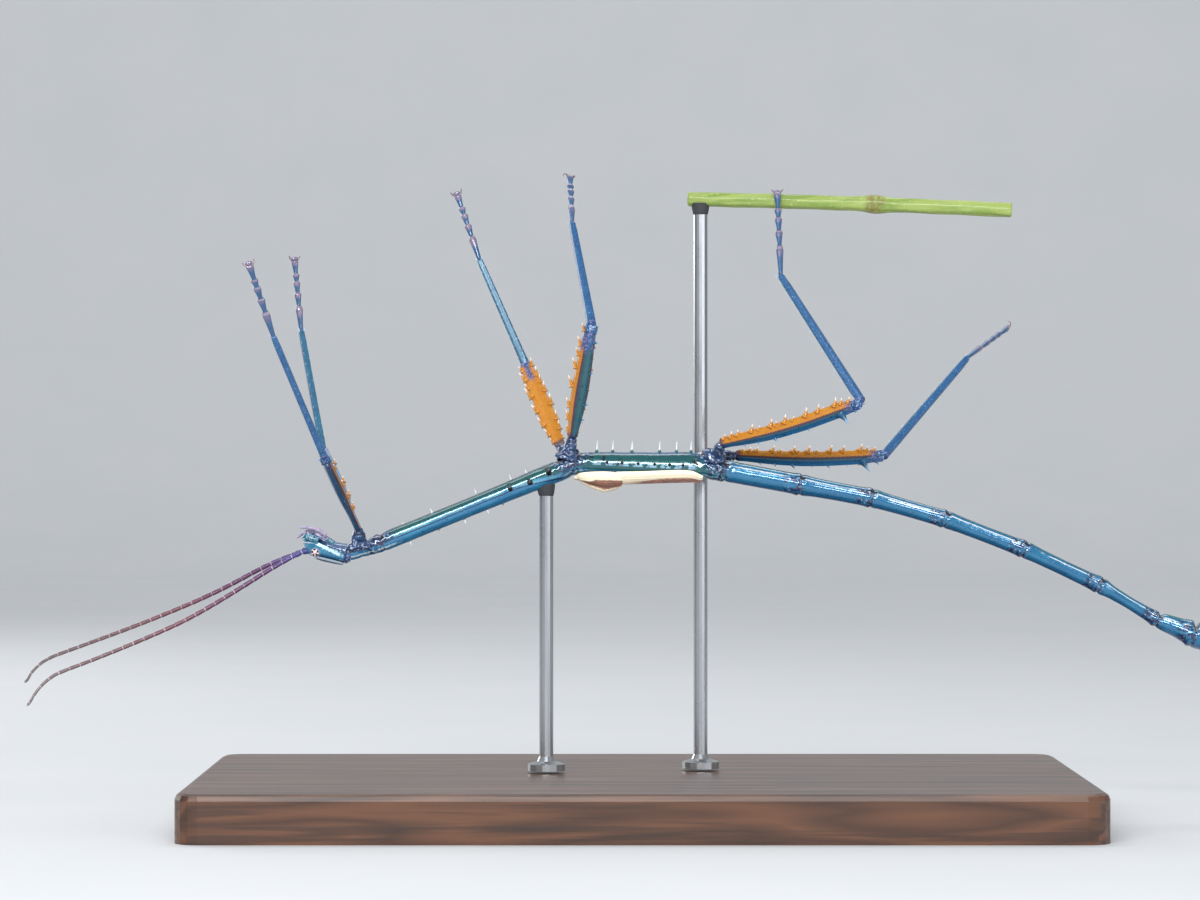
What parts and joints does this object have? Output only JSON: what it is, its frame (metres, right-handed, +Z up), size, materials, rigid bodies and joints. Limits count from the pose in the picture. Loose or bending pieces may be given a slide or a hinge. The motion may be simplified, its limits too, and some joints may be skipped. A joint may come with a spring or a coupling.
{
  "type": "giant stick insect display model",
  "caption": "Life-size male blue stick insect hanging belly up by one hind foot from a cut green stem, on a plain walnut base with steel rods.",
  "frame": {"origin": "middle of the display base's underside", "axes": "+X from the insect's head towards its tail, +Z up, so the insect's right side faces -Y"},
  "size_m": [0.1595, 0.064, 0.0827],
  "materials": {
    "head_cuticle": "glossy blue cuticle",
    "mouth_cuticle": "pale satin cuticle",
    "palp_cuticle": "pale lilac, satin",
    "compound_eye": "pearly, glossy",
    "antenna_cuticle": "mauve brown, satin",
    "thorax_cuticle": "glossy teal and blue cuticle",
    "abdomen_cuticle": "glossy blue cuticle",
    "wing_case": "cream, satin",
    "folded_wing": "cream, satin",
    "coxa_cuticle": "violet blue cuticle",
    "thigh_cuticle": "orange in front, teal blue behind",
    "shin_cuticle": "smooth blue cuticle",
    "foot_cuticle": "blue with pale pads and claws",
    "green_stem": "fresh green bark",
    "walnut": "oiled walnut",
    "steel_rod": "brushed"
  },
  "bodies": {
    "root": {"head": "head_cuticle", "mouthparts": "mouth_cuticle", "palp_right": "palp_cuticle", "palp_left": "palp_cuticle", "eye_right": "compound_eye", "eye_left": "compound_eye", "antenna_right": "antenna_cuticle", "antenna_left": "antenna_cuticle", "prothorax": "thorax_cuticle", "mesothorax": "thorax_cuticle", "metathorax": "thorax_cuticle", "abdomen_2": "abdomen_cuticle", "abdomen_3": "abdomen_cuticle", "abdomen_4": "abdomen_cuticle", "abdomen_5": "abdomen_cuticle", "abdomen_6": "abdomen_cuticle", "abdomen_7": "abdomen_cuticle", "abdomen_8": "abdomen_cuticle", "abdomen_9": "abdomen_cuticle", "abdomen_10": "abdomen_cuticle", "cercus_right": "abdomen_cuticle", "cercus_left": "abdomen_cuticle", "forewing_right": "wing_case", "forewing_left": "wing_case", "hindwing_right": "folded_wing", "hindwing_left": "folded_wing", "foreleg_right_coxa": "coxa_cuticle", "foreleg_right_femur": "thigh_cuticle", "foreleg_right_tibia": "shin_cuticle", "foreleg_right_tarsus": "foot_cuticle", "foreleg_left_coxa": "coxa_cuticle", "foreleg_left_femur": "thigh_cuticle", "foreleg_left_tibia": "shin_cuticle", "foreleg_left_tarsus": "foot_cuticle", "midleg_right_coxa": "coxa_cuticle", "midleg_right_femur": "thigh_cuticle", "midleg_right_tibia": "shin_cuticle", "midleg_right_tarsus": "foot_cuticle", "midleg_left_coxa": "coxa_cuticle", "midleg_left_femur": "thigh_cuticle", "midleg_left_tibia": "shin_cuticle", "midleg_left_tarsus": "foot_cuticle", "hindleg_right_coxa": "coxa_cuticle", "hindleg_right_femur": "thigh_cuticle", "hindleg_right_tibia": "shin_cuticle", "hindleg_right_tarsus": "foot_cuticle", "hindleg_left_coxa": "coxa_cuticle", "hindleg_left_femur": "thigh_cuticle", "hindleg_left_tibia": "shin_cuticle", "hindleg_left_tarsus": "foot_cuticle", "perch_stem": "green_stem", "stand_base": "walnut", "stand_rod_body": "steel_rod", "stand_rod_perch": "steel_rod"}
  },
  "joints": []
}
